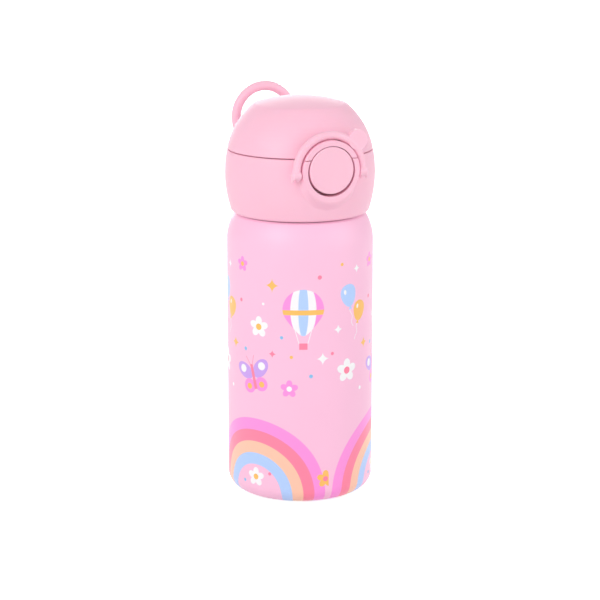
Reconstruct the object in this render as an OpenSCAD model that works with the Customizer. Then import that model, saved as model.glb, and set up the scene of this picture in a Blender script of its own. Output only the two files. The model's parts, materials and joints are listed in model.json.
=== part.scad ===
// Insulated children's water bottle with a flip cap, push button, lock ring and carry loop.
// Millimetres. +Z is up, the front with the button faces -Y, and the origin is the middle of the base.

/* [Flask] */
// Outer diameter of the flask
body_d = 68; // [60:0.5:82]
// Height of the flask from the floor to the top of its shoulder
body_h = 132.4; // [105:0.1:165]
// Radius of the rounded bottom edge
base_round = 7.4; // [4:0.1:9]
// Radius of the shoulder's curve
shoulder_round = 22.9; // [18:0.1:26]
// Height of the curved part of the shoulder
shoulder_h = 13; // [9:0.1:14]
// Thickness of the outer steel wall
shell_t = 0.8; // [0.5:0.05:1.1]
// Thickness of the inner steel wall
inner_t = 0.6; // [0.4:0.05:0.9]
// Width of the vacuum gap between the walls
vacuum_gap = 2.4; // [1.8:0.1:3.2]
// Outer diameter of the neck, without its thread
neck_d = 48; // [42:0.5:50]
// Height of the mouth above the shoulder
mouth_h = 15.6; // [14:0.1:18]
// Thickness of the rubber foot pad
pad_t = 1.1; // [0.8:0.05:1.6]

/* [Thread] */
// Height gained in one turn of the two-start thread
thread_lead = 8; // [6:0.5:9]
// How far the thread stands out of the neck
thread_depth = 1.1; // [0.9:0.05:1.2]
// Height of one thread ridge
thread_w = 1.4; // [1:0.1:1.6]

/* [Lid] */
// Largest diameter of the lid
lid_d = 69.34; // [61:0.01:84]
// Height of the lower half of the lid
lid_base_h = 28.6; // [27:0.1:32]
// Height of the lid's widest place above its lower edge
lid_widest_h = 18; // [15:0.5:20]
// Radius of the curve of the lid's side, seen from the front
lid_side_round = 56; // [45:1:90]
// Height of the domed cap above the seam
cap_h = 24.1; // [23:0.1:28]
// Radius of the curve of the cap's side
cap_side_round = 36; // [34:0.5:40]
// Radius of the shallow curve of the cap's top
crown_round = 70; // [60:1:120]
// Radius of the edge between the cap's side and its top
cap_edge_round = 5; // [3:0.5:6]
// Thickness of the lid's plastic walls
lid_t = 2; // [1.6:0.1:2.2]
// Gap between the lid's two halves
seam_gap = 0.4; // [0.3:0.05:0.6]
// Gap between the lid and the flask
lid_gap = 0.6; // [0.4:0.05:1]

/* [Button and lock ring] */
// Diameter of the push button
button_d = 21.2; // [19:0.1:22]
// How far the button travels
button_travel = 2.2; // [1.5:0.1:2.4]
// Inner diameter of the bezel round the button
bezel_bore_d = 22.8; // [22.6:0.1:23.8]
// Outer diameter of the bezel
bezel_d = 27.8; // [27:0.1:28.2]
// How far the bezel stands out from the widest part of the lid
bezel_proud = 1.53; // [1.2:0.01:2]
// How far the button's middle lies below the seam
button_drop = 5.4; // [5:0.1:6]
// Thickness of the lock ring's bar
lock_bar_d = 3.64; // [3.2:0.02:3.8]
// Gap between the bezel and the lock ring
lock_gap = 0.38; // [0.3:0.02:0.6]

/* [Hinge and carry loop] */
// How far the hinge pin lies behind the widest part of the lid
hinge_reach = 5.33; // [5.1:0.01:7]
// Diameter of the hinge pin
pin_d = 2.5; // [2:0.1:3]
// Radial running clearance round the hinge pin and the lock ring's stubs
run_gap = 0.05; // [0.02:0.01:0.1]
// Outer diameter of the carry loop
loop_d = 33.2; // [30:0.2:36]
// Thickness of the carry loop's bar
loop_bar_d = 4.6; // [4:0.1:5]

/* [Spout] */
// Outer diameter of the spout at its lip
spout_d = 17; // [15:0.2:18]
// Diameter of the spout's bore
spout_bore_d = 13.2; // [12:0.2:13.6]
// Height of the spout's lip above the seam
spout_rise = 10.8; // [9:0.1:11.5]

/* [Hidden] */

$fn = 96;
FAR = 100;                 // longer than any cut
GAP = 0.3;                 // clearance between pieces that move past each other
BITE = 0.3;                // depth to which joined shapes run into each other

// Flask
body_r = body_d / 2;
rim_z = 0.3;                                    // the steel rim clears the floor by this much
shell_open_r = body_r - base_round - 2;         // edge of the opening in the outer wall's bottom
shoulder_z = body_h - shoulder_h;
neck_r = neck_d / 2;
mouth_z = body_h + mouth_h;
lip_t = 0.8;
shoulder_edge = 0.8;                            // bevel where the shoulder meets its flat top
inner_r = body_r - shell_t - vacuum_gap;        // outside of the inner wall
inner_neck_r = neck_r - shell_t - 0.1;
inner_shoulder_round = 12;
inner_shoulder_z = shoulder_z - 3.4;
inner_bottom_z = 5;
inner_base_round = 8;
inner_base_h = 9;                               // height of the pressed dish
outer_base_z = rim_z + shell_t;
outer_base_r = shell_open_r + 1.4;
outer_base_t = 0.8;
seal_r = 1.5;

// Thread: ridges on the neck and in the lid liner, each start made of short tilted arcs
thread_starts = 2;
ridges_per_turn = 6;
ridge_angle = 46;
thread_z = body_h + 4.4;                        // lowest ridge on the neck
liner_bore_r = neck_r + thread_depth + 0.4;
ridge_pitch = thread_lead / thread_starts;

// Lid
lid_z = body_h + lid_gap;
lid_r = lid_d / 2;
lid_widest_z = lid_z + lid_widest_h;
lid_side_x = lid_r - lid_side_round;            // centre of the side's curve
lid_top_z = lid_z + lid_base_h;
cap_z = lid_top_z + seam_gap;
seam_z = (lid_top_z + cap_z) / 2;
seam_angle = asin((seam_z - lid_widest_z) / lid_side_round);
cap_side_c = [lid_side_x + (lid_side_round - cap_side_round) * cos(seam_angle),
              lid_widest_z + (lid_side_round - cap_side_round) * sin(seam_angle)];
cap_top_z = seam_z + cap_h;
crown_c = [0, cap_top_z - crown_round];
deck_t = 3;
edge = 0.35;                                    // bevel along the seam
foot_edge = 0.8;                                // bevel round the lid's lower edge
deck_open_r = 24;

// Lid liner: sleeve, deck under the spout and flange under the lid's own deck
gasket_t = 2;
gasket_w = 3;
liner_deck_z = mouth_z + gasket_t;
liner_deck_t = 2;
liner_r = liner_bore_r + 2;
liner_flange_t = 2;
liner_flange_r = lid_r - lid_t - 0.7;

// Button and bezel, drawn round the button's axis along Y
bezel_z = seam_z - button_drop;
bezel_r = bezel_d / 2;
bezel_y = lid_r + bezel_proud;
bezel_bore_r = bezel_bore_d / 2;
bezel_wall_t = 1.2;                             // wall behind the button
bezel_back_y = liner_r + 0.3;
button_r = button_d / 2;
button_proud = 0.4;
split_t = 1.4;                                  // depth of the groove that marks the split in the bezel
button_lift = 0.5;                              // the button sits this much above the bore's middle
button_z = bezel_z + button_lift;
button_y = bezel_y + button_proud;
button_face_t = 1.6;
button_wall_t = 1.3;
button_back_y = bezel_back_y + bezel_wall_t + button_travel + GAP;
hook_w = 6;
hook_t = 1.6;
hook_z = button_z + button_r - 4;               // underside of the hook's arm
hook_end_y = bezel_back_y - 7.4;
hook_lip = 1.4;
hook_rise = 2.6;
catch_gap = 0.7;                                // the cap's catch passes the hook with this gap
slot_gap = 0.5;

// Lock ring, in a plane parallel to the front
lock_bar_r = lock_bar_d / 2;
lock_r = bezel_r + lock_gap + lock_bar_r;
lock_y = bezel_y - lock_bar_r - 0.38;
lock_z = bezel_z - 1.2;                         // height of its pivots
lock_eye_r = lock_bar_r + 0.3;
lock_stub_r = 1.2;
lock_stub_reach = 1;
tab_angle = 45;
tab_r = 4.6;
tab_out = 2.7;                                  // tab's middle outside the ring's

// Hinge and loop
hinge_y = lid_r + hinge_reach;
hinge_z = seam_z;
pin_r = pin_d / 2;
knuckle_r = 3.2;
ear_x = [2.9, 5.6];                             // lid base's ears, from and to
cap_knuckle_x = [5.9, 7.9];
loop_knuckle_x = [8.3, 13];
loop_r = (loop_d - loop_bar_d) / 2;
loop_bar_r = loop_bar_d / 2;
loop_y = hinge_y + 4;
loop_z = hinge_z + 9.2;

// Springs
spring_wire_r = 0.35;
wire_sides = 6;
steps_per_turn = 16;

// Spout and its seal
spout_r = spout_d / 2;
spout_bore_r = spout_bore_d / 2;
spout_top_z = seam_z + spout_rise;
spout_foot_r = spout_r + 1;
spout_flange_r = spout_foot_r + 3.5;
spout_flange_t = 1.7;
spout_gasket_t = 1;
seal_disc_r = spout_r + 2.5;
seal_disc_t = 3;
plug_r = spout_bore_r - 1;
plug_depth = 1.8;
cap_liner_z = spout_top_z + GAP + seal_disc_t;
cap_liner_r = 20.5;
cap_liner_t = 1.6;
vent_y = 16.5;
vent_r = 1.5;

// Colours
PINK_STEEL = [0.97, 0.71, 0.86];
PINK_PLASTIC = [0.98, 0.72, 0.80];
STEEL = [0.75, 0.76, 0.78];
WHITE = [0.95, 0.93, 0.93];
SILICONE = [0.93, 0.88, 0.90];
DARK = [0.35, 0.33, 0.34];

// ---- Outlines ----

// An arc is [centre, radius, from angle, to angle]; these are the points at its two ends
function on_arc(arc, a) = [arc[0][0] + arc[1] * cos(a), arc[0][1] + arc[1] * sin(a)];
function ends(arc) = [on_arc(arc, arc[2]), on_arc(arc, arc[3])];

// Where two circles round a and b meet, on the side with the larger x
function meet(a, ra, b, rb) =
    let (d = norm(b - a), along = (d * d + ra * ra - rb * rb) / (2 * d),
         side = sqrt(ra * ra - along * along), u = (b - a) / d)
    a + along * u + side * [-u[1], u[0]] * (u[1] > 0 ? -1 : 1);

function angle_to(from, to) = atan2(to[1] - from[1], to[0] - from[0]);

// Fill between the axis and an outline of straight lines and outward arcs. An outline is a list whose
// items are points [x, z] or arcs, and it runs from the bottom up.
function is_arc(item) = len(item) == 4;
module fill(outline) {
    corners = [for (item = outline) each (is_arc(item) ? ends(item) : [item])];
    first = corners[0];
    last = corners[len(corners) - 1];
    polygon(concat([[0, first[1]]], corners, [[0, last[1]]]));
    for (item = outline) if (is_arc(item)) segment(item);
}

// The part of a disc between an arc and its chord, let a little into the shape inside it
module segment(arc) {
    p = ends(arc);
    out = on_arc(arc, (arc[2] + arc[3]) / 2) - arc[0];
    u = out / norm(out);
    intersection() {
        translate(arc[0]) circle(r = arc[1]);
        polygon([p[0] - BITE * u, p[0] + arc[1] * u, p[1] + arc[1] * u, p[1] - BITE * u]);
    }
}

// Outer wall, from the edge of its bottom opening to the mouth, moved inwards by t
function shell_outline(t) = [
    if (t > 0) [shell_open_r, rim_z],
    [shell_open_r, rim_z + t],
    [[body_r - base_round, rim_z + base_round], base_round - t, -90, 0],
    [[body_r - shoulder_round, shoulder_z], shoulder_round - t, 0,
     asin((shoulder_h - shoulder_edge - t) / (shoulder_round - t))],
    [shoulder_edge_x() - shoulder_edge - t, body_h - t],
    [neck_r - t, body_h - t], [neck_r - t, mouth_z - lip_t]];

// Where the shoulder's curve ends and its bevel starts
function shoulder_edge_x() =
    body_r - shoulder_round + sqrt(pow(shoulder_round, 2) - pow(shoulder_h - shoulder_edge, 2));

// Inner wall above its dish, moved inwards by t
function inner_outline(t) =
    let (c = [inner_r - inner_shoulder_round, inner_shoulder_z], r = inner_shoulder_round - t)
    [[inner_r - t, inner_bottom_z + inner_base_h],
     [c, r, 0, acos((inner_neck_r - t - c[0]) / r)],
     [inner_neck_r - t, mouth_z]];

// Side of the lid's lower half, with its two edges rounded, moved inwards by t
function lid_side(t) =
    let (c = [lid_side_x, lid_widest_z], r = lid_side_round - t,
         low = asin((lid_z + foot_edge - lid_widest_z) / r), high = asin((lid_top_z - edge - lid_widest_z) / r))
    [[c[0] + r * cos(low) - (t > 0 ? 0 : foot_edge), lid_z], [c, r, low, high],
     [c[0] + r * cos(high) - (t > 0 ? 0 : edge), lid_top_z]];

// Cap, from its lower edge to the middle of its top, moved inwards by t
function cap_outline(t) =
    let (side_r = cap_side_round - t, top_r = crown_round - t, edge_r = cap_edge_round,
         edge_c = meet(cap_side_c, side_r - edge_r, crown_c, top_r - edge_r),
         side_end = angle_to(cap_side_c, edge_c), top_start = angle_to(crown_c, edge_c),
         low = asin((cap_z + edge - cap_side_c[1]) / side_r))
    [[cap_side_c[0] + side_r * cos(low) - (t > 0 ? 0 : edge), cap_z],
     [cap_side_c, side_r, low, side_end], [edge_c, edge_r, side_end, top_start],
     [crown_c, top_r, top_start, 90]];

// ---- Shared shapes ----

// An outline's arcs as short straight lines, for the cap: its domed walls don't come out as true arcs
CAP_STEPS = 10;
function points(outline) = [for (item = outline) each (is_arc(item)
    ? [for (i = [0:CAP_STEPS]) on_arc(item, item[2] + (item[3] - item[2]) * i / CAP_STEPS)] : [item])];
module walled_in_steps(outer, inner) {
    from_top = points(inner);
    rotate_extrude() polygon(concat(points(outer), [for (i = [len(from_top) - 1:-1:0]) from_top[i]]));
}

// A solid of revolution with a wall between two outlines
module walled(outer, inner) {
    rotate_extrude() difference() {
        fill(outer);
        fill(inner);
    }
}

module ring(r_in, r_out, h) {
    rotate_extrude() translate([r_in, 0]) square([r_out - r_in, h]);
}

// A cylinder along Y on the button's side, from y_front to y_back in front of the axis
module front_cylinder(r, y_front, y_back, z) {
    translate([0, -y_front, z]) rotate([-90, 0, 0]) cylinder(r = r, h = y_front - y_back);
}

// A cylinder along X, from x0 to x1
module cross_cylinder(r, x0, x1, y, z) {
    translate([x0, y, z]) rotate([0, 90, 0]) cylinder(r = r, h = x1 - x0);
}

// A cylinder along Y whose front edge is bevelled
module front_plug(r, y_front, y_back, z, bevel) {
    front_cylinder(r, y_front - bevel, y_back, z);
    translate([0, -y_front, z]) rotate([-90, 0, 0]) cylinder(r1 = r - bevel, r2 = r, h = bevel);
}

module both_sides() {
    children();
    mirror([1, 0, 0]) children();
}

// Short arcs of a ridge, each tilted to follow the thread; root is the radius of the wall
module thread_ridges(root, tip, z) {
    tilt = atan(thread_lead / (2 * PI * root));
    inner = min(root, tip) - (tip > root ? BITE : 0);
    outer = max(root, tip) + (tip < root ? BITE : 0);
    tip_w = thread_w * 0.55;
    profile = tip > root
        ? [[inner, -thread_w / 2], [outer, -tip_w / 2], [outer, tip_w / 2], [inner, thread_w / 2]]
        : [[inner, -tip_w / 2], [outer, -thread_w / 2], [outer, thread_w / 2], [inner, tip_w / 2]];
    for (start = [0:thread_starts - 1], i = [0:ridges_per_turn - 1])
        rotate([0, 0, 360 * (start / thread_starts + i / ridges_per_turn)])
            translate([0, 0, z + thread_lead * i / ridges_per_turn])
                rotate([tilt, 0, 0])
                    rotate([0, 0, -ridge_angle / 2])
                        rotate_extrude(angle = ridge_angle) polygon(profile);
}

// Frame of the cross-section at point i of a path: two unit vectors across it
function along(path, i) =
    let (a = path[max(i - 1, 0)], b = path[min(i + 1, len(path) - 1)]) (b - a) / norm(b - a);
function across(path, i, up) = let (c = cross(along(path, i), up)) c / norm(c);

// A round wire swept along a path
module wire(path, r, up) {
    n = len(path);
    points = [for (i = [0:n - 1], k = [0:wire_sides - 1])
        let (u = across(path, i, up), v = cross(u, along(path, i)), a = 360 * k / wire_sides)
        path[i] + r * (cos(a) * u + sin(a) * v)];
    sides = [for (i = [0:n - 2], k = [0:wire_sides - 1])
        let (a = i * wire_sides + k, b = i * wire_sides + (k + 1) % wire_sides)
        [a, b, b + wire_sides, a + wire_sides]];
    ends = [[for (k = [wire_sides - 1:-1:0]) k], [for (k = [0:wire_sides - 1]) (n - 1) * wire_sides + k]];
    polyhedron(points, concat(sides, ends), convexity = 10);
}

// Helix round Z
function helix(r, h, turns) =
    [for (i = [0:turns * steps_per_turn])
        let (a = 360 * i / steps_per_turn) [r * cos(a), r * sin(a), h * i / (turns * steps_per_turn)]];

// ---- Flask ----

module outer_shell() color(PINK_STEEL) {
    walled(shell_outline(0), shell_outline(shell_t));
    thread_ridges(neck_r, neck_r + thread_depth, thread_z);
}

module inner_flask() color(STEEL) {
    walled(inner_outline(0), inner_outline(inner_t));
    translate([0, 0, mouth_z - lip_t]) ring(inner_neck_r - BITE, neck_r, lip_t);
}

module inner_base() color(STEEL) {
    c = [inner_r - inner_base_round, inner_bottom_z + inner_base_round];
    top = inner_bottom_z + inner_base_h;
    walled([[c, inner_base_round, -90, 0], [inner_r, top]],
           [[c, inner_base_round - inner_t, -90, 0], [inner_r - inner_t, top + BITE]]);
}

module outer_base() color(STEEL) {
    translate([0, 0, outer_base_z]) ring(seal_r, outer_base_r, outer_base_t);
}

module getter_pad() color(DARK) {
    pad_x = 12;
    translate([pad_x, 0, outer_base_z + outer_base_t]) cylinder(d = 12, h = 1.5);
}

module vacuum_seal() color(DARK) {
    bead_h = 0.8;
    translate([0, 0, outer_base_z]) cylinder(r = seal_r, h = outer_base_t);
    translate([0, 0, outer_base_z + outer_base_t]) cylinder(r1 = seal_r + 1.1, r2 = seal_r, h = bead_h);
}

module base_pad() color(SILICONE) {
    bevel = 0.25;
    r = shell_open_r - 0.3;
    rotate_extrude() polygon([[0, 0], [r - bevel, 0], [r, bevel], [r, pad_t], [0, pad_t]]);
}

// ---- Screw lid ----

module neck_gasket() color(SILICONE) {
    translate([0, 0, mouth_z]) ring(neck_r + 0.4 - gasket_w, neck_r + 0.4, gasket_t);
}

// The can that holds the button, with the groove that marks where the real lid splits
module bezel() {
    difference() {
        front_plug(bezel_r, bezel_y, bezel_back_y, bezel_z, edge);
        front_cylinder(bezel_bore_r, bezel_y + 1, bezel_back_y + bezel_wall_t, bezel_z);
        translate([-hook_w / 2 - slot_gap, -bezel_back_y - bezel_wall_t - 1, hook_z - slot_gap])
            cube([hook_w + 2 * slot_gap, bezel_wall_t + 2, hook_t + 2 * slot_gap + button_lift]);
        both_sides() cross_cylinder(lock_stub_r + run_gap, bezel_r - lock_stub_reach - 0.4, FAR,
                                    -lock_y, lock_z);
        translate([-FAR / 2, -bezel_y - 1, seam_z - seam_gap / 2]) cube([FAR, 1 + split_t, seam_gap]);
    }
}

// Side view of one of the lid's ears, with Y to the right
module ear_outline() {
    root_y = liner_flange_r + GAP;
    corner = knuckle_r * sin(45);
    translate([hinge_y, hinge_z]) circle(r = knuckle_r);
    polygon([[root_y, lid_top_z], [root_y, lid_top_z - 10], [lid_r - 0.4, lid_top_z - 10],
             [hinge_y + corner, hinge_z - corner], [hinge_y, lid_top_z]]);
}

module lid_base() color(PINK_PLASTIC) {
    difference() {
        union() {
            difference() {
                union() {
                    walled(lid_side(0), lid_side(lid_t));
                    translate([0, 0, lid_top_z - deck_t])
                        ring(deck_open_r, lid_side_x + lid_side_round * cos(seam_angle) - 1, deck_t);
                }
                front_cylinder(bezel_r - BITE, FAR, bezel_back_y, bezel_z);
            }
            bezel();
            both_sides() translate([ear_x[0], 0, 0])
                rotate([90, 0, 90]) linear_extrude(ear_x[1] - ear_x[0]) ear_outline();
        }
        cross_cylinder(pin_r, -FAR / 2, FAR / 2, hinge_y, hinge_z);
    }
}

module lid_liner() color(WHITE) {
    sleeve_z = lid_z + 1;
    flange_z = lid_top_z - deck_t - liner_flange_t;
    difference() {
        union() {
            translate([0, 0, sleeve_z]) ring(liner_bore_r, liner_r, liner_deck_z + liner_deck_t - sleeve_z);
            translate([0, 0, liner_deck_z]) cylinder(r = liner_bore_r + BITE, h = liner_deck_t);
            translate([0, 0, liner_deck_z]) ring(liner_r - 2, liner_r, flange_z - liner_deck_z + liner_flange_t);
            translate([0, 0, flange_z]) ring(liner_r - BITE, liner_flange_r, liner_flange_t);
            thread_ridges(liner_bore_r, neck_r + GAP + 0.05, thread_z + ridge_pitch / 2 - thread_lead / 2);
        }
        translate([0, 0, liner_deck_z - 1]) cylinder(r = spout_foot_r - 0.5, h = liner_deck_t + 2);
        translate([0, vent_y, liner_deck_z - 1]) cylinder(r = vent_r, h = liner_deck_t + 2);
        front_cylinder(bezel_r + 0.1, FAR, bezel_back_y, bezel_z);
        translate([-hook_w / 2 - 1, -bezel_back_y - 1, hook_z - 1]) cube([hook_w + 2, 10, 10]);
    }
}

module spout_gasket() color(SILICONE) {
    translate([0, 0, liner_deck_z + liner_deck_t])
        ring(spout_foot_r - 0.5, spout_flange_r - 0.6, spout_gasket_t);
}

module spout() color(WHITE) {
    foot_z = liner_deck_z - 1.5;
    flange_z = liner_deck_z + liner_deck_t + spout_gasket_t;
    lip_r = (spout_r - spout_bore_r) / 2;
    rotate_extrude() {
        polygon([[spout_bore_r, foot_z], [spout_foot_r - 0.5, foot_z], [spout_foot_r - 0.5, flange_z],
                 [spout_flange_r, flange_z], [spout_flange_r, flange_z + spout_flange_t],
                 [spout_foot_r, flange_z + spout_flange_t], [spout_r, spout_top_z - lip_r],
                 [spout_bore_r, spout_top_z - lip_r]]);
        translate([spout_r - lip_r, spout_top_z - lip_r]) circle(r = lip_r);
    }
}

module vent_valve() color(SILICONE) {
    deck_top = liner_deck_z + liner_deck_t;
    translate([0, vent_y, liner_deck_z]) cylinder(r = vent_r, h = liner_deck_t);
    translate([0, vent_y, deck_top]) cylinder(r1 = 3.2, r2 = 2.4, h = 1.1);
    translate([0, vent_y, liner_deck_z - 1.4]) cylinder(r1 = 1.1, r2 = 2.1, h = 1.4);
}

module hinge_pin() color(STEEL) {
    cross_cylinder(pin_r, -loop_knuckle_x[1], loop_knuckle_x[1], hinge_y, hinge_z);
}

// Torsion spring round the hinge pin; its legs bear on the lid base and on the cap
module lid_spring() color(STEEL) {
    coil_r = pin_r + 0.95;
    coil_w = 2 * ear_x[0] - 1.6;
    leg = hinge_y - lid_r - 0.4;
    turns = 4.5;
    path = concat([[coil_r, -leg, 0]], helix(coil_r, coil_w, turns), [[-coil_r, -leg, coil_w]]);
    translate([-coil_w / 2, hinge_y, hinge_z]) rotate([0, 90, 0])
        wire(path, spring_wire_r, [0, 0, 1]);
}

// Compression spring behind the button, drawn at its pressed length
module button_spring() color(STEEL) {
    back_y = bezel_back_y + bezel_wall_t;
    length = button_y - button_face_t - back_y - button_travel - 2 * spring_wire_r - 0.2;
    translate([0, -back_y - spring_wire_r - 0.05, button_z]) rotate([90, 0, 0])
        wire(helix(4, length, 3), spring_wire_r, [0, 0, 1]);
}

// ---- Cap ----

module cap_shell() color(PINK_PLASTIC) {
    rib_top = cap_top_z - 3.4;
    difference() {
        union() {
            walled_in_steps(cap_outline(0), cap_outline(lid_t));
            translate([0, 0, cap_liner_z + cap_liner_t])
                ring(cap_liner_r - 2.2, cap_liner_r - 0.8, rib_top - cap_liner_z - cap_liner_t);
            both_sides() cap_knuckle();
        }
        front_cylinder(bezel_r + lock_gap, FAR, 15, bezel_z);
        cross_cylinder(pin_r + run_gap, -FAR / 2, FAR / 2, hinge_y, hinge_z);
    }
}

// Arm that reaches from the cap's back to the hinge pin
module cap_knuckle() {
    width = cap_knuckle_x[1] - cap_knuckle_x[0];
    arm_y = lid_r - lid_t - 1.2;
    cross_cylinder(knuckle_r, cap_knuckle_x[0], cap_knuckle_x[1], hinge_y, hinge_z);
    translate([cap_knuckle_x[0], arm_y, cap_z])
        cube([width, hinge_y - arm_y, hinge_z + knuckle_r - cap_z]);
}

module cap_liner() color(WHITE) {
    socket_h = seal_disc_t - 0.4;
    catch_y = hook_end_y + hook_t + hook_lip + catch_gap;
    catch_t = 1.5;
    web_t = 2;
    catch_z = hook_z + hook_t + 0.6;
    catch_top_z = cap_liner_z - 1.2;
    translate([0, 0, cap_liner_z]) cylinder(r = cap_liner_r, h = cap_liner_t);
    translate([0, 0, cap_liner_z - socket_h]) ring(seal_disc_r, seal_disc_r + 1.5, socket_h + BITE);
    translate([-hook_w / 2, -catch_y - catch_t, catch_top_z - web_t])
        cube([hook_w, catch_y + catch_t - seal_disc_r - 0.5, web_t]);
    translate([-hook_w / 2, -catch_y - catch_t, catch_z]) cube([hook_w, catch_t, catch_top_z - catch_z]);
}

module spout_seal() color(SILICONE) {
    rotate_extrude() polygon([
        [0, spout_top_z - plug_depth], [plug_r - 1, spout_top_z - plug_depth], [plug_r, spout_top_z + GAP],
        [seal_disc_r, spout_top_z + GAP], [seal_disc_r, cap_liner_z], [0, cap_liner_z]]);
}

// ---- Button, lock ring and loop ----

module push_button() color(PINK_PLASTIC) {
    difference() {
        front_plug(button_r, button_y, button_back_y, button_z, edge);
        front_cylinder(button_r - button_wall_t, button_y - button_face_t, 0, button_z);
    }
    translate([-hook_w / 2, -button_y + 1, hook_z]) cube([hook_w, button_y - 1 - hook_end_y, hook_t]);
    translate([-hook_w / 2, -hook_end_y - hook_t, hook_z]) cube([hook_w, hook_t, hook_rise + hook_t]);
    translate([-hook_w / 2, -hook_end_y - hook_t - hook_lip, hook_z + hook_rise])
        cube([hook_w, hook_lip + BITE, hook_t]);
}

module lock_ring() color(PINK_PLASTIC) {
    tab_reach = lock_r + tab_out;
    translate([0, -lock_y, bezel_z]) rotate([90, 0, 0])
        rotate_extrude(angle = 180) translate([lock_r, 0]) circle(r = lock_bar_r, $fn = 48);
    both_sides() {
        translate([lock_r, -lock_y, lock_z]) cylinder(r = lock_bar_r, h = bezel_z - lock_z);
        cross_cylinder(lock_eye_r, lock_r - lock_bar_r, lock_r + lock_bar_r, -lock_y, lock_z);
        cross_cylinder(lock_stub_r, bezel_r - lock_stub_reach, lock_r, -lock_y, lock_z);
    }
    translate([tab_reach * sin(tab_angle), 0, bezel_z + tab_reach * cos(tab_angle)])
        front_cylinder(tab_r, lock_y + lock_bar_r - 0.2, lock_y - lock_bar_r + 0.2, 0);
}

// Side view of the loop's knuckle, with Y to the right
module loop_knuckle_outline() {
    translate([hinge_y, hinge_z]) circle(r = knuckle_r - 0.2);
    polygon([[hinge_y, hinge_z - knuckle_r + 0.2], [loop_y + 1.6, hinge_z - 1.4], [loop_y + 1.6, hinge_z + 2],
             [hinge_y, hinge_z + knuckle_r - 0.2]]);
}

module carry_loop() color(PINK_PLASTIC) {
    width = loop_knuckle_x[1] - loop_knuckle_x[0];
    difference() {
        union() {
            difference() {
                translate([0, loop_y, loop_z]) rotate([90, 0, 0])
                    rotate_extrude() translate([loop_r, 0]) circle(r = loop_bar_r, $fn = 48);
                translate([-FAR / 2, 0, hinge_z - FAR]) cube([FAR, FAR, FAR]);
                translate([-loop_knuckle_x[0], 0, hinge_z - 1]) cube([2 * loop_knuckle_x[0], FAR, 4]);
            }
            both_sides() translate([loop_knuckle_x[0], 0, 0])
                rotate([90, 0, 90]) linear_extrude(width) loop_knuckle_outline();
        }
        cross_cylinder(pin_r + run_gap, -FAR / 2, FAR / 2, hinge_y, hinge_z);
    }
}

outer_shell();
inner_flask();
inner_base();
outer_base();
getter_pad();
vacuum_seal();
base_pad();
neck_gasket();
lid_base();
lid_liner();
spout();
spout_gasket();
vent_valve();
hinge_pin();
lid_spring();
button_spring();
cap_shell();
cap_liner();
spout_seal();
push_button();
lock_ring();
carry_loop();
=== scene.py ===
"""Kids water bottle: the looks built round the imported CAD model.

The CAD nodes whose shape is right keep their meshes and get a finish each. The softened pieces, which are
the lock ring, the carry loop and the swelling under the button, are modelled here and ride on the CAD bodies.
"""

from __future__ import annotations

import json
import logging
import math
from dataclasses import dataclass, field
from enum import Enum
from typing import Any, Optional, Union

import bmesh
import bpy
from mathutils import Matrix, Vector

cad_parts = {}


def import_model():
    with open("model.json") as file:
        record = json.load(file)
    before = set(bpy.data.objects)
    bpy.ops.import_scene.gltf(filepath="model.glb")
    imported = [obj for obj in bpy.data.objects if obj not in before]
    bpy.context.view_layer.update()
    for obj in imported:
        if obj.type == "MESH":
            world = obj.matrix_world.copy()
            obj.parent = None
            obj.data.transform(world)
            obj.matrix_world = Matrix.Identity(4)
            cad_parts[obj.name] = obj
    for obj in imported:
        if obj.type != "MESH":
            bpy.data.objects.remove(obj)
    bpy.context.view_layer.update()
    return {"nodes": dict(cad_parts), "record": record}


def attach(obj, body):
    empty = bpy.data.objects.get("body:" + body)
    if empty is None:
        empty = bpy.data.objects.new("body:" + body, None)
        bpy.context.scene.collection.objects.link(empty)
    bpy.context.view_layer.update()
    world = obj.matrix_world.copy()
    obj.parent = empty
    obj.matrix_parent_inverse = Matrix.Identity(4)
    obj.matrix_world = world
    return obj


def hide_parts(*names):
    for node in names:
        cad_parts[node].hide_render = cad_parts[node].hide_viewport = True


LOG = logging.getLogger("bottle")
MM = 0.001

Colour = tuple[float, float, float]
Number = Union[float, "Value"]


# ---- Shader maths ----


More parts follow.
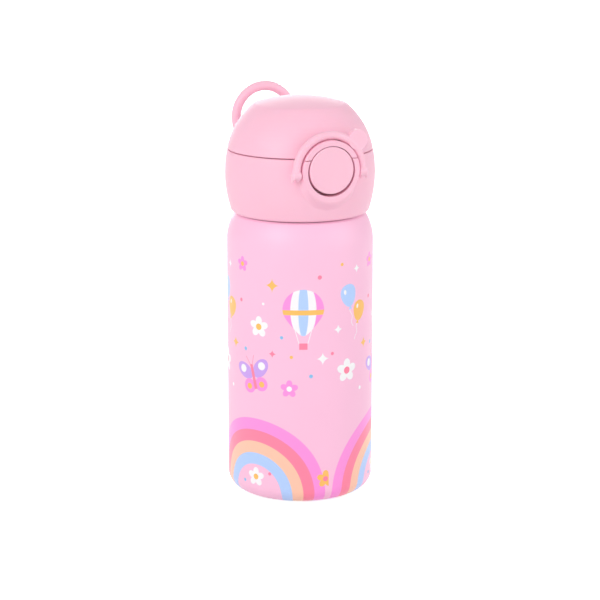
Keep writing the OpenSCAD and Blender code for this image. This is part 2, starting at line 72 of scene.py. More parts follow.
class Value:
    """A number on its way through a material's nodes, with Python's operators."""

    def __init__(self, graph: "Graph", socket: Any) -> None:
        """Wrap a socket.

        Args:
            graph: The material that the socket belongs to.
            socket: The output socket that carries the number.
        """
        self.graph = graph
        self.socket = socket

    def math(self, operation: str, *others: Number, first: Optional[Number] = None) -> "Value":
        """Add one Math node.

        Args:
            operation: The Math node's operation.
            others: The operands after this one.
            first: An operand that goes before this one, for the reflected operators.

        Returns:
            The node's result.
        """
        operands = ([first] if first is not None else []) + [self] + list(others)
        node = self.graph.node("ShaderNodeMath", {"operation": operation}, dict(enumerate(operands)))
        return Value(self.graph, node.outputs[0])

    def __add__(self, other: Number) -> "Value":
        """Sum."""
        return self.math("ADD", other)

    def __radd__(self, other: Number) -> "Value":
        """Sum, with the number first."""
        return self.math("ADD", other)

    def __sub__(self, other: Number) -> "Value":
        """Difference."""
        return self.math("SUBTRACT", other)

    def __rsub__(self, other: Number) -> "Value":
        """Difference, with the number first."""
        return self.math("SUBTRACT", first=other)

    def __mul__(self, other: Number) -> "Value":
        """Product."""
        return self.math("MULTIPLY", other)

    def __rmul__(self, other: Number) -> "Value":
        """Product, with the number first."""
        return self.math("MULTIPLY", other)

    def __truediv__(self, other: Number) -> "Value":
        """Quotient."""
        return self.math("DIVIDE", other)

    def __neg__(self) -> "Value":
        """The number with its sign turned."""
        return self.math("MULTIPLY", -1.0)

    def __abs__(self) -> "Value":
        """The number without its sign."""
        return self.math("ABSOLUTE")

    def __pow__(self, other: Number) -> "Value":
        """Power."""
        return self.math("POWER", other)

    def least(self, other: Number) -> "Value":
        """The smaller of two numbers."""
        return self.math("MINIMUM", other)

    def most(self, other: Number) -> "Value":
        """The larger of two numbers."""
        return self.math("MAXIMUM", other)

    def wrapped(self, span: float) -> "Value":
        """The remainder after whole spans, always positive."""
        return self.math("FLOORED_MODULO", span)

    def clamped(self) -> "Value":
        """The number held between 0 and 1."""
        return self.most(0.0).least(1.0)


def length_of(x: Value, y: Value) -> Value:
    """Distance from the origin.

    Args:
        x: First coordinate.
        y: Second coordinate.

    Returns:
        The square root of the sum of the squares.
    """
    return (x * x + y * y).math("SQRT")


class Graph:
    """One material and the nodes in it."""

    def __init__(self, name: str) -> None:
        """Start an empty material.

        Args:
            name: The material's name.
        """
        self.material = bpy.data.materials.new(name)
        self.material.use_nodes = True
        self.tree = self.material.node_tree
        self.tree.nodes.clear()
        self.output = self.node("ShaderNodeOutputMaterial")

    def node(self, kind: str, settings: Optional[dict[str, Any]] = None,
             inputs: Optional[dict[Any, Any]] = None) -> Any:
        """Add a node, set its own settings and then fill its sockets.

        Args:
            kind: The node's type name.
            settings: The node's properties; "stops" holds a ramp's positions and colours.
            inputs: Values or links for its sockets, by name or number.

        Returns:
            The new node.
        """
        made = self.tree.nodes.new(kind)
        for key, value in (settings or {}).items():
            if key == "stops":
                ramp = made.color_ramp
                while len(ramp.elements) < len(value):
                    ramp.elements.new(0.5)
                for element, (place, colour) in zip(ramp.elements, value):
                    element.position = place
                    element.color = (*colour, 1.0)
            else:
                setattr(made, key, value)
        for key, value in (inputs or {}).items():
            socket = made.inputs[key]
            if isinstance(value, Value):
                self.tree.links.new(value.socket, socket)
            elif isinstance(value, bpy.types.NodeSocket):
                self.tree.links.new(value, socket)
            elif isinstance(value, tuple) and len(value) == 3 and socket.type == "RGBA":
                socket.default_value = (*value, 1.0)
            else:
                socket.default_value = value
        return made

    def place(self) -> tuple[Value, Value, Value]:
        """Object coordinates in millimetres.

        Returns:
            The three coordinates.
        """
        where = self.node("ShaderNodeTexCoord").outputs["Object"]
        split = self.node("ShaderNodeSeparateXYZ", inputs={0: where})
        return tuple(Value(self, split.outputs[i]) * 1000.0 for i in range(3))

    def noise(self, scale: float, detail: float = 2.0, stretch: Colour = (1.0, 1.0, 1.0)) -> Value:
        """Noise over the piece.

        Args:
            scale: How many blotches there are in a millimetre.
            detail: How many finer layers are added.
            stretch: Scale along each axis.

        Returns:
            The noise, from 0 to 1 about 0.5.
        """
        where = self.node("ShaderNodeTexCoord").outputs["Object"]
        mapped = self.node("ShaderNodeMapping", inputs={"Vector": where, "Scale": stretch})
        made = self.node("ShaderNodeTexNoise", inputs={
            "Vector": mapped.outputs[0], "Scale": scale / MM, "Detail": detail, "Roughness": 0.55})
        return Value(self, made.outputs["Fac"])

    def blend(self, mask: Number, under: Any, over: Any) -> Any:
        """Lay one colour over another.

        Args:
            mask: 0 for the lower colour, 1 for the upper one.
            under: The lower colour.
            over: The upper colour.

        Returns:
            The mixed colour's socket.
        """
        made = self.node("ShaderNodeMix", {"data_type": "RGBA"}, {0: mask, 6: under, 7: over})
        return made.outputs[2]

    def finish(self, surface: dict[str, Any]) -> bpy.types.Material:
        """Close the material with a Principled shader.

        Args:
            surface: Values or links for the shader's sockets.

        Returns:
            The finished material.
        """
        shader = self.node("ShaderNodeBsdfPrincipled", inputs=surface)
        self.tree.links.new(shader.outputs[0], self.output.inputs[0])
        return self.material

    def bump(self, height: Value, depth: float, strength: float = 1.0) -> Any:
        """Turn a height into a surface normal.

        Args:
            height: The height, 0 to 1.
            depth: What a height of 1 stands for, in millimetres.
            strength: How much of it shows.

        Returns:
            The normal's socket.
        """
        made = self.node("ShaderNodeBump", inputs={"Strength": strength, "Distance": depth * MM, "Height": height})
        return made.outputs["Normal"]


# ---- Finishes ----


class Ink(Enum):
    """Colours of the printed pattern, as linear light."""

    MAGENTA = (1.0, 0.30, 0.75)
    ROSE = (1.0, 0.235, 0.37)
    PEACH = (1.0, 0.58, 0.42)
    SKY = (0.46, 0.64, 1.0)
    YELLOW = (0.98, 0.53, 0.12)
    BLUE = (0.24, 0.53, 0.83)
    LILAC = (0.60, 0.36, 0.86)
    WHITE = (0.95, 0.93, 0.95)


@dataclass(frozen=True)
class Moulded:
    """Satin moulded plastic: a faint grain from the mould and a very slight unevenness of colour."""

    colour: Colour
    roughness: float = 0.46
    grain: float = 0.010
    sheen: float = 0.05

    def material(self, name: str) -> bpy.types.Material:
        """Build the material.

        Args:
            name: The material's name.

        Returns:
            The material.
        """
        g = Graph(name)
        cloud = g.noise(0.05, 3.0)
        grain = g.noise(4.0, 3.0)
        shade = tuple(c * 0.965 for c in self.colour)
        tint = g.blend(((cloud - 0.35) * 2.0).clamped(), shade, self.colour)
        return g.finish({
            "Base Color": tint, "Roughness": self.roughness + (cloud - 0.5) * 0.10 + (grain - 0.5) * 0.08,
            "Specular IOR Level": 0.42, "Sheen Weight": self.sheen, "Sheen Roughness": 0.5,
            "Subsurface Weight": 0.06, "Subsurface Scale": 1.2 * MM,
            "Normal": g.bump(grain * 0.7 + g.noise(0.9, 1.0) * 0.3, self.grain)})


@dataclass(frozen=True)
class Silicone:
    """Matte silicone rubber with a soft, dusty surface."""

    colour: Colour
    roughness: float = 0.68

    def material(self, name: str) -> bpy.types.Material:
        """Build the material.

        Args:
            name: The material's name.

        Returns:
            The material.
        """
        g = Graph(name)
        dust = g.noise(0.6, 4.0)
        tint = g.blend(((dust - 0.4) * 2.0).clamped(), tuple(c * 0.94 for c in self.colour), self.colour)
        return g.finish({
            "Base Color": tint, "Roughness": self.roughness + (dust - 0.5) * 0.15,
            "Subsurface Weight": 0.15, "Subsurface Scale": 1.5 * MM,
            "Normal": g.bump(g.noise(6.0, 2.0), 0.012)})


@dataclass(frozen=True)
class TurnedSteel:
    """Bare stainless steel with the fine rings that turning and polishing leave."""

    colour: Colour = (0.72, 0.72, 0.73)
    roughness: float = 0.36
    rings: float = 1.0
    metallic: float = 0.85

    def material(self, name: str) -> bpy.types.Material:
        """Build the material.

        Args:
            name: The material's name.

        Returns:
            The material.
        """
        g = Graph(name)
        rings = g.noise(0.12, 4.0, (1.0, 1.0, 60.0 * self.rings))
        smudge = g.noise(0.08, 3.0)
        tint = g.blend(rings, tuple(c * 0.90 for c in self.colour), self.colour)
        return g.finish({
            "Base Color": tint, "Metallic": self.metallic,
            "Roughness": self.roughness + (rings - 0.5) * 0.16 + (smudge - 0.5) * 0.10,
            "Anisotropic": 0.4, "Normal": g.bump(rings, 0.006)})


@dataclass(frozen=True)
class CastMetal:
    """Dull cast or soldered metal with a lumpy, tarnished surface."""

    colour: Colour
    roughness: float = 0.6

    def material(self, name: str) -> bpy.types.Material:
        """Build the material.

        Args:
            name: The material's name.

        Returns:
            The material.
        """
        g = Graph(name)
        lumps = g.noise(1.6, 4.0)
        tint = g.blend(((lumps - 0.4) * 3.0).clamped(), tuple(c * 0.6 for c in self.colour), self.colour)
        return g.finish({"Base Color": tint, "Metallic": 0.85, "Roughness": self.roughness + (lumps - 0.5) * 0.25,
                         "Normal": g.bump(lumps, 0.05)})


@dataclass(frozen=True)
class PrintedCoat:
    """Pink powder coat with a printed pattern of striped hills, flowers, balloons, butterflies and sparkles.

    The pattern is drawn on the unrolled side, with x round the bottle and z up, both in millimetres. It repeats
    three times round the bottle, and x is 0 over the middle of each striped hill.
    """

    colour: Colour = (1.0, 0.56, 0.755)
    side_r: float = 34.0
    repeats: int = 3
    hill_angle: float = -150.0
    hill_r: float = 34.0
    hill_z: float = 4.0
    stripe: float = 5.2
    softness: float = 0.10
    print_top: float = 121.0

    def material(self, name: str) -> bpy.types.Material:
        """Build the material.

        Args:
            name: The material's name.

        Returns:
            The material.
        """
        g = Graph(name)
        x, y, z = g.place()
        sector = 2 * math.pi / self.repeats
        turn = y.math("ARCTAN2", x) - math.radians(self.hill_angle) + sector / 2
        self_x = (turn.wrapped(sector) - sector / 2) * self.side_r
        orange_peel = g.noise(0.55, 2.0)
        cloud = g.noise(0.03, 2.0)
        ground = g.blend(((cloud - 0.35) * 2.0).clamped(), tuple(c * 0.975 for c in self.colour), self.colour)
        sheet = Sheet(g, self_x, z, ground, self.softness)
        self.hills(sheet)
        self.motifs(sheet)
        inked = sheet.cover * ((self.print_top - z) / self.softness).clamped()
        return g.finish({
            "Base Color": g.blend(inked, ground, sheet.colour),
            "Roughness": 0.44 - inked * 0.07 + (orange_peel - 0.5) * 0.12,
            "Specular IOR Level": 0.45, "Coat Weight": 0.12, "Coat Roughness": 0.35,
            "Normal": g.bump(orange_peel * 0.8 + g.noise(3.0, 2.0) * 0.2 + inked * 0.25, 0.022)})

    def hills(self, sheet: "Sheet") -> None:
        """Paint the striped hills.

        Args:
            sheet: The sheet to paint on.
        """
        x, z = sheet.at(0.0, self.hill_z)
        reach = length_of(x, z * 0.94)
        for step, ink in enumerate((Ink.MAGENTA, Ink.ROSE, Ink.PEACH, Ink.SKY)):
            sheet.paint(ink, sheet.inside(self.hill_r - step * self.stripe - reach))
        sheet.paint(None, sheet.inside(self.hill_r - 4 * self.stripe - reach))

    def motifs(self, sheet: "Sheet") -> None:
        """Paint the flowers, balloons, butterflies, sparkles and dots.

        Args:
            sheet: The sheet to paint on.
        """
        sheet.air_balloon(23.5, 93.0, 9.6)
        sheet.butterfly(-1.0, 60.0, 9.4, 14.0)
        sheet.balloon(-25.0, 98.0, 4.4, Ink.SKY, 10.0)
        sheet.balloon(-18.0, 90.0, 4.0, Ink.YELLOW, -12.0)
        for px, pz, r, petal, heart in ((2.0, 84.0, 5.0, Ink.WHITE, Ink.YELLOW), (-26.0, 63.0, 5.6, Ink.WHITE, Ink.ROSE),
                                        (0.0, 12.0, 4.6, Ink.WHITE, Ink.YELLOW), (17.0, 56.0, 4.2, Ink.MAGENTA, Ink.WHITE),
                                        (-8.0, 112.0, 3.6, Ink.MAGENTA, Ink.YELLOW), (34.0, 12.5, 4.2, Ink.YELLOW, Ink.ROSE)):
            sheet.flower(px, pz, r, petal, heart)
        for px, pz, r, ink in ((9.0, 104.0, 3.4, Ink.YELLOW), (-14.0, 74.0, 2.9, Ink.YELLOW), (32.5, 70.0, 3.2, Ink.WHITE),
                               (-31.0, 83.0, 2.4, Ink.WHITE), (9.0, 72.0, 2.0, Ink.ROSE), (-20.0, 110.0, 2.2, Ink.WHITE)):
            sheet.sparkle(px, pz, r, ink)
        for px, pz, r, ink in ((-9.0, 95.0, 0.9, Ink.ROSE), (13.5, 80.0, 0.8, Ink.BLUE), (27.0, 62.0, 0.9, Ink.BLUE),
                               (-34.0, 72.0, 0.8, Ink.ROSE), (31.0, 108.0, 1.0, Ink.ROSE), (4.5, 95.0, 0.7, Ink.WHITE),
                               (-17.0, 53.0, 0.9, Ink.WHITE), (18.0, 71.0, 0.8, Ink.YELLOW), (-6.0, 72.5, 0.9, Ink.BLUE),
                               (-29.0, 113.0, 0.8, Ink.YELLOW), (7.5, 14.5, 0.8, Ink.ROSE), (-7.0, 9.0, 0.8, Ink.BLUE)):
            sheet.dot(px, pz, r, ink)


class Sheet:
    """The unrolled side of the bottle, on which the print is painted shape by shape."""

    def __init__(self, graph: Graph, x: Value, z: Value, ground: Any, softness: float) -> None:
        """Start a bare sheet.

        Args:
            graph: The material.
            x: Place round the bottle, in millimetres.
            z: Height, in millimetres.
            ground: The bare coat's colour.
            softness: Width of an ink edge, in millimetres.
        """
        self.graph = graph
        self.x = x
        self.z = z
        self.ground = ground
        self.colour = ground
        self.cover = x * 0.0
        self.softness = softness

    def at(self, x: float, z: float, turned: float = 0.0) -> tuple[Value, Value]:
        """Coordinates about a point.

        Args:
            x: The point's place round the bottle.
            z: The point's height.
            turned: How far the motif is turned, in degrees.

        Returns:
            The two coordinates, in millimetres.
        """
        dx, dz = self.x - x, self.z - z
        if not turned:
            return dx, dz
        c, s = math.cos(math.radians(turned)), math.sin(math.radians(turned))
        return dx * c + dz * s, dz * c - dx * s

    def inside(self, depth: Value) -> Value:
        """A mask from how deep a point lies inside a shape.

        Args:
            depth: Depth in millimetres, negative outside.

        Returns:
            1 inside and 0 outside, with a soft edge.
        """
        return (depth / self.softness + 0.5).clamped()

    def paint(self, ink: Optional[Ink], mask: Value) -> None:
        """Print a shape, or clear it.

        Args:
            ink: The ink, or None to clear back to the coat.
            mask: The shape.
        """
        self.colour = self.graph.blend(mask, self.colour, self.ground if ink is None else ink.value)
        self.cover = self.cover * (1.0 - mask) if ink is None else self.cover.most(mask)

    def dot(self, x: float, z: float, r: float, ink: Ink) -> None:
        """Print a dot of radius r."""
        self.paint(ink, self.inside(r - length_of(*self.at(x, z))))

    def flower(self, x: float, z: float, r: float, petals: Ink, heart: Ink) -> None:
        """Print a five-petalled flower.

        Args:
            x: Place round the bottle.
            z: Height.
            r: Radius out to the petal tips.
            petals: Ink of the petals.
            heart: Ink of the middle.
        """
        dx, dz = self.at(x, z, 17.0)
        reach = length_of(dx, dz)
        lobes = abs((dz.math("ARCTAN2", dx) * 2.5).math("COSINE"))
        self.paint(petals, self.inside((lobes * 0.42 + 0.58) * r - reach))
        self.paint(heart, self.inside(r * 0.30 - reach))

    def sparkle(self, x: float, z: float, r: float, ink: Ink) -> None:
        """Print a four-pointed sparkle.

        Args:
            x: Place round the bottle.
            z: Height.
            r: Length of a point.
            ink: The ink.
        """
        dx, dz = self.at(x, z)
        reach = ((abs(dx) / r) ** 0.6 + (abs(dz) / r) ** 0.6) ** (1 / 0.6)
        self.paint(ink, self.inside((1.0 - reach) * r * 0.6))

    def balloon(self, x: float, z: float, r: float, ink: Ink, turned: float) -> None:
        """Print a party balloon with its string.

        Args:
            x: Place round the bottle.
            z: Height.
            r: Half its width.
            ink: The ink.
            turned: How far it leans, in degrees.
        """
        dx, dz = self.at(x, z, turned)
        string = (0.16 - abs(dx - (dz * 1.1).math("SINE") * 0.5)).least(-dz - r).least(dz + r * 3.4)
        self.paint(Ink.WHITE, self.inside(string))
        egg = dz * 0.82
        body = r - length_of(dx * (1.0 - dz * (0.18 / r)), egg)
        knot = (0.55 - abs(dx) + (-dz - r * 1.28) * 0.6).least(dz + r * 1.5).least(-dz - r * 1.1)
        self.paint(ink, self.inside(body.most(knot)))
        gleam = r * 0.16 - length_of(dx + r * 0.42, (dz - r * 0.48) * 0.6)
        self.paint(Ink.WHITE, self.inside(gleam))

    def air_balloon(self, x: float, z: float, r: float) -> None:
        """Print a striped hot-air balloon with its basket.

        Args:
            x: Place round the bottle.
            z: Height of the middle of the envelope.
            r: Radius of the envelope.
        """
        dx, dz = self.at(x, z)
        low = (-dz).most(0.0)
        envelope = r - length_of(dx * (1.0 + low * low * (0.62 / (r * r))), dz.most(0.0) + low * 0.80)
        ropes = (0.17 - abs(abs(dx) - (2.1 + (dz + r * 1.6) * 0.28))).least(dz + r * 1.62).least(-dz - r * 0.9)
        self.paint(Ink.WHITE, self.inside(ropes))
        self.paint(Ink.MAGENTA, self.inside(envelope))
        height = dz / (r * 1.35)
        meridian = abs(dx) / ((1.0 - height * height).most(0.02).math("SQRT") * r)
        stripe = envelope.least((0.62 - meridian) * r)
        self.paint(Ink.WHITE, self.inside(stripe))
        self.paint(Ink.SKY, self.inside(envelope.least((0.24 - meridian) * r)))
        belt = envelope.least(1.15 - abs(dz + r * 0.12))
        self.paint(Ink.YELLOW, self.inside(belt))
        basket = (1.9 - abs(dx)).least(1.5 - abs(dz + r * 1.76))
        self.paint(Ink.ROSE, self.inside(basket))

    def butterfly(self, x: float, z: float, r: float, turned: float) -> None:
        """Print a butterfly.

        Args:
            x: Place round the bottle.
            z: Height.
            r: Half its span.
            turned: How far it leans, in degrees.
        """
        dx, dz = self.at(x, z, turned)
        side = abs(dx)
        c, s = math.cos(math.radians(38)), math.sin(math.radians(38))
        ux, uz = side - r * 0.50, dz - r * 0.36
        upper = r * 0.56 - length_of(ux * c + uz * s, (uz * c - ux * s) * 1.55)
        lower = r * 0.36 - length_of(side - r * 0.36, dz + r * 0.42)
        self.paint(Ink.LILAC, self.inside(upper))
        self.paint(Ink.MAGENTA, self.inside(lower))
        self.paint(Ink.WHITE, self.inside(r * 0.20 - length_of(ux - r * 0.10, uz - r * 0.10)))
        self.paint(Ink.YELLOW, self.inside(r * 0.15 - length_of(side - r * 0.38, dz + r * 0.44)))
        feelers = (0.16 - abs(side - (dz - r * 0.45) * 0.42)).least(dz - r * 0.40).least(r * 1.05 - dz)
        self.paint(Ink.ROSE, self.inside((r * 0.085 - side).least(r * 0.62 - abs(dz)).most(feelers)))


class Finish(Enum):
    """The finish of each material slot in the record."""

    pink_coated_steel = PrintedCoat()
    bare_steel = TurnedSteel()
    getter_alloy = CastMetal((0.25, 0.25, 0.26))
    solder = CastMetal((0.42, 0.41, 0.39), 0.45)
    silicone = Silicone((0.88, 0.84, 0.86))
    pink_plastic = Moulded((1.0, 0.550, 0.690))
    button_plastic = Moulded((1.0, 0.560, 0.695), 0.42)
    white_plastic = Moulded((0.90, 0.885, 0.88), 0.38, 0.006, 0.0)
    spring_steel = TurnedSteel((0.55, 0.55, 0.57), 0.30, 0.2)


class Wardrobe:
    """Makes each finish once and dresses pieces in it."""

    def __init__(self, record: dict[str, Any]) -> None:
        """Make the wardrobe.

        Args:
            record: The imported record, which says which slot each node has.
        """
        self.slots = {part["node"]: part["material_slot"] for part in record["subparts"]}
        self.made: dict[str, bpy.types.Material] = {}

    def dress(self, piece: bpy.types.Object, slot: str) -> None:
        """Give a piece its finish.

        Args:
            piece: The piece.
            slot: The material slot.
        """
        if slot not in self.made:
            self.made[slot] = Finish[slot].value.material(slot)
        piece.data.materials.clear()
        piece.data.materials.append(self.made[slot])

    def dress_node(self, node: str, piece: bpy.types.Object) -> None:
        """Give a CAD node the finish of its slot."""
        self.dress(piece, self.slots[node])


# ---- Modelling ----


class Bench:
    """The few moves that the pieces are modelled with."""

    @staticmethod
    def clear() -> None:
        """Leave edit mode and select nothing."""
        if bpy.context.object and bpy.context.object.mode != "OBJECT":
            bpy.ops.object.mode_set(mode="OBJECT")
        bpy.ops.object.select_all(action="DESELECT")

    @staticmethod
    def take(piece: bpy.types.Object) -> None:
        """Make a piece the only selected one."""
        Bench.clear()
        piece.select_set(True)
        bpy.context.view_layer.objects.active = piece

    @staticmethod
    def named(name: str) -> bpy.types.Object:
        """Name the primitive that was just added.

        Args:
            name: The piece's name.

        Returns:
            The piece.
        """
        piece = bpy.context.object
        piece.name = name
        piece.data.name = name
        return piece

    @staticmethod
    def place(piece: bpy.types.Object) -> None:
        """Put the piece's place into its mesh."""
        Bench.take(piece)
        bpy.ops.object.transform_apply(location=True, rotation=True, scale=True)

    @staticmethod
    def copy_of(node: bpy.types.Object, name: str) -> bpy.types.Object:
        """Copy a CAD node and merge its loose triangles.

        Args:
            node: The CAD node.
            name: The copy's name.

        Returns:
            The copy, free of the node's parent.
        """
        Bench.clear()
        piece = bpy.data.objects.new(name, node.data.copy())
        piece.data.name = name
        bpy.context.scene.collection.objects.link(piece)
        Bench.take(piece)
        bpy.ops.object.mode_set(mode="EDIT")
        bpy.ops.mesh.select_all(action="SELECT")
        bpy.ops.mesh.remove_doubles(threshold=0.004 * MM)
        bpy.ops.mesh.customdata_custom_splitnormals_clear()
        bpy.ops.object.mode_set(mode="OBJECT")
        return piece

    @staticmethod
    def join(piece: bpy.types.Object, others: list[bpy.types.Object]) -> None:
        """Join other pieces into one."""
        Bench.take(piece)
        for other in others:
            other.select_set(True)
        bpy.context.view_layer.objects.active = piece
        bpy.ops.object.join()

    @staticmethod
    def modify(piece: bpy.types.Object, kind: str, **settings: Any) -> None:
        """Add a modifier and apply it.

        Args:
            piece: The piece.
            kind: The modifier's type.
            settings: Its settings.
        """
        Bench.take(piece)
        made = piece.modifiers.new(kind.lower(), kind)
        for key, value in settings.items():
            setattr(made, key, value)
        bpy.ops.object.modifier_apply(modifier=made.name)

    @staticmethod
    def soften(piece: bpy.types.Object, voxel: float, passes: int) -> None:
        """Fuse joined shapes into one skin with soft joints.

        Args:
            piece: The joined shapes.
            voxel: Size of a grid cell, in millimetres.
            passes: How many times the skin is smoothed.
        """
        Bench.modify(piece, "REMESH", mode="VOXEL", voxel_size=voxel * MM, use_smooth_shade=True)
        Bench.modify(piece, "SMOOTH", factor=0.5, iterations=passes)

    @staticmethod
    def drill(piece: bpy.types.Object, r: float, x: tuple[float, float], y: float, z: float) -> None:
        """Drill a bore along X.

        Args:
            piece: The piece.
            r: Radius.
            x: Where the bore starts and ends.
            y: Height of the bore's axis along Y.
            z: Height of the bore's axis along Z.
        """
        Bench.clear()
        bpy.ops.mesh.primitive_cylinder_add(
            vertices=64, radius=r * MM, depth=(x[1] - x[0]) * MM,
            location=((x[0] + x[1]) / 2 * MM, y * MM, z * MM), rotation=(0, math.pi / 2, 0))
        tool = Bench.named("bore_tool")
        Bench.place(tool)
        Bench.modify(piece, "BOOLEAN", operation="DIFFERENCE", solver="EXACT", object=tool)
        bpy.data.objects.remove(tool)

    @staticmethod
    def smooth(piece: bpy.types.Object, angle: float) -> None:
        """Shade smooth, apart from edges sharper than the angle in degrees."""
        Bench.take(piece)
        bpy.ops.object.shade_smooth_by_angle(angle=math.radians(angle))

    @staticmethod
    def ball(name: str, r: float, centre: tuple[float, float, float],
             stretch: tuple[float, float, float] = (1.0, 1.0, 1.0)) -> bpy.types.Object:
        """Add a stretched ball, to be fused into something.

        Args:
            name: Its name.
            r: Its radius.
            centre: Its centre.
            stretch: Its scale along each axis.

        Returns:
            The ball.
        """
        Bench.clear()
        bpy.ops.mesh.primitive_uv_sphere_add(segments=32, ring_count=16, radius=r * MM,
                                             location=tuple(c * MM for c in centre), scale=stretch)
        piece = Bench.named(name)
        Bench.place(piece)
        return piece


@dataclass
class Bezel:
    """The swelling of the lid's barrel under the button, which blends the bezel's lower half into the side."""

    zc: float = 156.4
    bore_r: float = 11.4
    bezel_r: float = 13.9
    face_y: float = -36.2
    proud: float = 0.03
    barrel_c: tuple[float, float] = (-21.33, 151.0)
    barrel_round: float = 56.0
    edge: float = 0.35
    narrow: float = 0.45
    wide: float = 4.8
    rings: int = 22
    segments: int = 192

    def barrel_y(self, x: float, z: float) -> float:
        """Where the barrel's side lies.

        Args:
            x: Place across.
            z: Height.

        Returns:
            Y of the side in front.
        """
        r = self.barrel_c[0] + math.sqrt(self.barrel_round ** 2 - (z - self.barrel_c[1]) ** 2)
        return -math.sqrt(max(r * r - x * x, 0.0))

    def build(self) -> bpy.types.Object:
        """Model the swelling.

        Returns:
            The piece.
        """
        Bench.clear()
        bpy.ops.mesh.primitive_circle_add(
            vertices=self.segments, radius=self.bore_r * MM,
            location=(0, self.face_y * MM, self.zc * MM), rotation=(math.pi / 2, 0, 0))
        piece = Bench.named("bezel_swelling")
        Bench.place(piece)
        bpy.ops.object.mode_set(mode="EDIT")
        bm = bmesh.from_edit_mesh(piece.data)
        for v in bm.verts:
            v.select_set(v.co.z > (self.zc + 0.01) * MM)
        bm.select_flush_mode()
        bpy.ops.mesh.delete(type="VERT")
        bpy.ops.mesh.select_all(action="SELECT")
        centre = (0.0, self.face_y * MM, self.zc * MM)
        reach = self.bore_r
        for step in range(self.rings):
            wanted = self.bore_r + 0.02 + (self.bezel_r + self.wide - self.bore_r) * (step + 1) / self.rings
            bpy.ops.mesh.extrude_region_move()
            k = wanted / reach
            bpy.ops.transform.resize(value=(k, k, k), center_override=centre)
            reach = wanted
        bpy.ops.object.mode_set(mode="OBJECT")
        self.shape(piece)
        Bench.take(piece)
        bpy.ops.object.mode_set(mode="EDIT")
        bpy.ops.mesh.select_all(action="SELECT")
        bpy.ops.mesh.remove_doubles(threshold=0.002 * MM)
        bpy.ops.mesh.normals_make_consistent(inside=False)
        bpy.ops.object.mode_set(mode="OBJECT")
        Bench.smooth(piece, 40)
        return piece

    def shape(self, piece: bpy.types.Object) -> None:
        """Move each point of the flat fan to its place on the swelling.

        Args:
            piece: The fan.
        """
        whole = self.bezel_r + self.wide - self.bore_r
        for v in piece.data.vertices:
            x, z = v.co.x / MM, v.co.z / MM - self.zc
            rho = math.hypot(x, z)
            share = min(max((rho - self.bore_r - 0.02) / whole, 0.0), 1.0)
            down = max(-z / rho, 0.0)
            fade = self.narrow + (self.wide - self.narrow) * down ** 1.3
            start = self.bezel_r - self.edge
            if share < 0.12:
                want, y = self.bore_r + self.edge * share / 0.12, self.face_y + self.edge * (1 - share / 0.12) ** 2
            elif share < 0.30:
                want, y = self.bore_r + self.edge + (start - self.bore_r - self.edge) * (share - 0.12) / 0.18, self.face_y
            else:
                t = (share - 0.30) / 0.70
                want = start + fade * t
                px, pz = x / rho * want, self.zc + z / rho * want
                barrel = self.barrel_y(px, pz)
                height = 1 - t * t * (3 - 2 * t)
                y = barrel + (self.face_y - barrel) * height + 0.10 * max(t - 0.85, 0.0) / 0.15
            v.co = Vector((x / rho * want, y - self.proud, self.zc + z / rho * want)) * MM


@dataclass
class LockRing:
    """The swinging ring over the button, with its thumb tab and the two arm ends that clip on the bezel."""

    mid_r: float = 16.1
    bar_r: float = 1.82
    y: float = -34.0
    pivot_z: float = 155.2
    prong_r: float = 0.86
    prong_drop: float = 1.9
    voxel: float = 0.20

    def build(self, node: bpy.types.Object) -> bpy.types.Object:
        """Model the ring.

        Args:
            node: The CAD ring, which gives the bar, the eyes and the tab.

        Returns:
            The piece.
        """
        piece = Bench.copy_of(node, "lock_ring_soft")
        extras = []
        for side in (-1, 1):
            for prong, out in enumerate((-0.85, 1.9)):
                extras.append(Bench.ball(f"prong_{side}_{prong}", self.prong_r,
                                         (side * (self.mid_r + out), self.y, self.pivot_z - self.prong_drop + 0.4),
                                         (1.0, 1.0, 2.0)))
            extras.append(Bench.ball(f"heel_{side}", self.bar_r, (side * (self.mid_r + 0.6), self.y, self.pivot_z), (1.25, 1.1, 1.15)))
        Bench.join(piece, extras)
        Bench.soften(piece, self.voxel, 10)
        Bench.smooth(piece, 60)
        return piece


@dataclass
class CarryLoop:
    """The loop at the back, with its legs running softly into the hinge knuckles."""

    pin_y: float = 40.0
    pin_z: float = 161.8
    bore_r: float = 1.32
    voxel: float = 0.26

    def build(self, node: bpy.types.Object) -> bpy.types.Object:
        """Model the loop.

        Args:
            node: The CAD loop.

        Returns:
            The piece.
        """
        piece = Bench.copy_of(node, "carry_loop_soft")
        Bench.soften(piece, self.voxel, 7)
        Bench.drill(piece, self.bore_r, (-20.0, 20.0), self.pin_y, self.pin_z)
        Bench.smooth(piece, 50)
        return piece


# ---- Studio ----


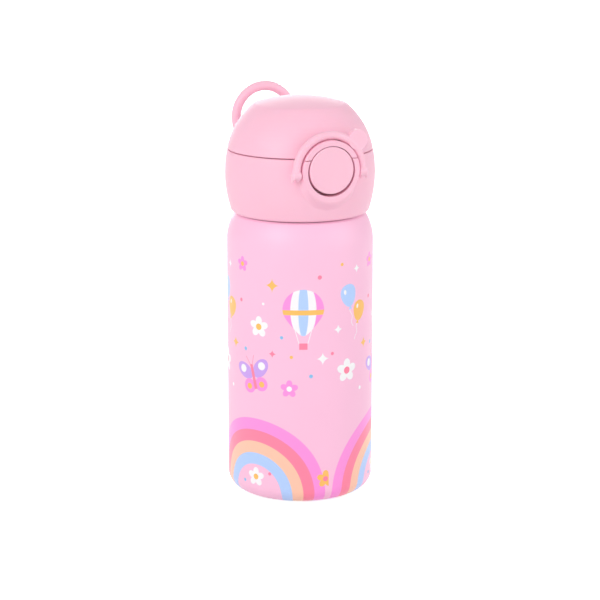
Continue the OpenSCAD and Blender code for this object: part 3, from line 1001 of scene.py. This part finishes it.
@dataclass
class Studio:
    """The pale floor, the soft light and the camera."""

    distance: float = 0.91314
    height: float = 0.30743
    azimuth: float = -23.0
    pitch: float = 13.4065
    lens: float = 120.2
    floor_r: float = 9.0
    ambient: float = 0.56
    key: float = 11.5
    fill: float = 7.5
    rear: float = 7.5
    floor_glow: float = 0.75

    def camera(self) -> None:
        """Set the camera."""
        turn = math.radians(-self.azimuth)
        data = bpy.data.cameras.new("camera")
        data.lens = self.lens
        data.sensor_width = 36.0
        data.clip_end = 50.0
        eye = bpy.data.objects.new("camera", data)
        eye.location = (-self.distance * math.sin(turn), -self.distance * math.cos(turn), self.height)
        eye.rotation_euler = (math.radians(90 - self.pitch), 0.0, -turn)
        bpy.context.scene.collection.objects.link(eye)
        bpy.context.scene.camera = eye

    def lamp(self, name: str, place: tuple[float, float, float], size: float, power: float) -> None:
        """Hang a soft round lamp that points at the bottle.

        Args:
            name: Its name.
            place: Where it hangs.
            size: Its width.
            power: Its power in watts.
        """
        data = bpy.data.lights.new(name, "AREA")
        data.shape = "DISK"
        data.size = size
        data.energy = power
        lamp = bpy.data.objects.new(name, data)
        lamp.location = place
        aim = Vector((0.0, 0.0, 0.10)) - Vector(place)
        lamp.rotation_euler = aim.to_track_quat("-Z", "Y").to_euler()
        bpy.context.scene.collection.objects.link(lamp)

    def floor(self) -> None:
        """Lay the floor, which shows white but keeps the bottle's shadow."""
        Bench.clear()
        bpy.ops.mesh.primitive_circle_add(vertices=96, radius=self.floor_r, fill_type="NGON")
        floor = Bench.named("floor")
        g = Graph("floor")
        rays = g.node("ShaderNodeLightPath")
        seen = Value(g, rays.outputs["Is Camera Ray"]).most(Value(g, rays.outputs["Is Glossy Ray"])).most(
            Value(g, rays.outputs["Is Transmission Ray"]))
        g.finish({"Base Color": (0.80, 0.80, 0.80), "Roughness": 0.9, "Specular IOR Level": 0.1,
                  "Emission Color": (1.0, 1.0, 1.0), "Emission Strength": seen * self.floor_glow})
        floor.data.materials.append(g.material)

    def world(self) -> None:
        """Set the surrounding light: white where it is seen, softer where it only lights."""
        world = bpy.data.worlds.new("studio")
        world.use_nodes = True
        tree = world.node_tree
        tree.nodes.clear()
        rays = tree.nodes.new("ShaderNodeLightPath")
        seen = tree.nodes.new("ShaderNodeMath")
        seen.operation = "MAXIMUM"
        tree.links.new(rays.outputs["Is Camera Ray"], seen.inputs[0])
        glossy = tree.nodes.new("ShaderNodeMath")
        glossy.operation = "MAXIMUM"
        tree.links.new(rays.outputs["Is Glossy Ray"], glossy.inputs[0])
        tree.links.new(rays.outputs["Is Transmission Ray"], glossy.inputs[1])
        tree.links.new(glossy.outputs[0], seen.inputs[1])
        level = tree.nodes.new("ShaderNodeMapRange")
        level.inputs["To Min"].default_value = self.ambient
        level.inputs["To Max"].default_value = 1.0
        tree.links.new(seen.outputs[0], level.inputs["Value"])
        back = tree.nodes.new("ShaderNodeBackground")
        back.inputs["Color"].default_value = (1.0, 1.0, 1.0, 1.0)
        tree.links.new(level.outputs[0], back.inputs["Strength"])
        out = tree.nodes.new("ShaderNodeOutputWorld")
        tree.links.new(back.outputs[0], out.inputs[0])
        bpy.context.scene.world = world

    def build(self) -> None:
        """Set up the whole studio."""
        bpy.context.scene.view_settings.view_transform = "Standard"
        self.camera()
        self.world()
        self.floor()
        self.lamp("key", (-1.25, -0.70, 0.80), 1.1, self.key)
        self.lamp("fill", (1.1, -0.9, 0.5), 1.3, self.fill)
        self.lamp("rear", (0.4, 1.4, 0.3), 1.0, self.rear)


# ---- The bottle ----


@dataclass
class Bottle:
    """The whole object: the CAD nodes in their finishes and the softened pieces."""

    nodes: dict[str, bpy.types.Object]
    wardrobe: Wardrobe
    bezel: Bezel = field(default_factory=Bezel)
    ring: LockRing = field(default_factory=LockRing)
    loop: CarryLoop = field(default_factory=CarryLoop)

    def add(self, piece: bpy.types.Object, body: str, slot: str, *replaced: str) -> None:
        """Dress a new piece and hang it on its body.

        Args:
            piece: The piece.
            body: The CAD body that it moves with.
            slot: Its material slot.
            replaced: The CAD nodes that it stands for.
        """
        self.wardrobe.dress(piece, slot)
        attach(piece, body)
        if replaced:
            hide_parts(*replaced)
        LOG.info("%s: %d faces, on %s", piece.name, len(piece.data.polygons), body)

    def build(self) -> None:
        """Build and dress everything."""
        for name, node in self.nodes.items():
            self.wardrobe.dress_node(name, node)
            LOG.info("%s: CAD mesh, %s", name, self.wardrobe.slots[name])
        self.add(self.bezel.build(), "lid", "pink_plastic")
        self.add(self.ring.build(self.nodes["lock_ring"]), "lock", "button_plastic", "lock_ring")
        self.add(self.loop.build(self.nodes["carry_loop"]), "loop", "button_plastic", "carry_loop")


def main() -> None:
    logging.basicConfig(level=logging.INFO, format="%(message)s")
    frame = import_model()
    Bottle(frame["nodes"], Wardrobe(frame["record"])).build()
    Studio().build()


if __name__ == "__main__":
    main()
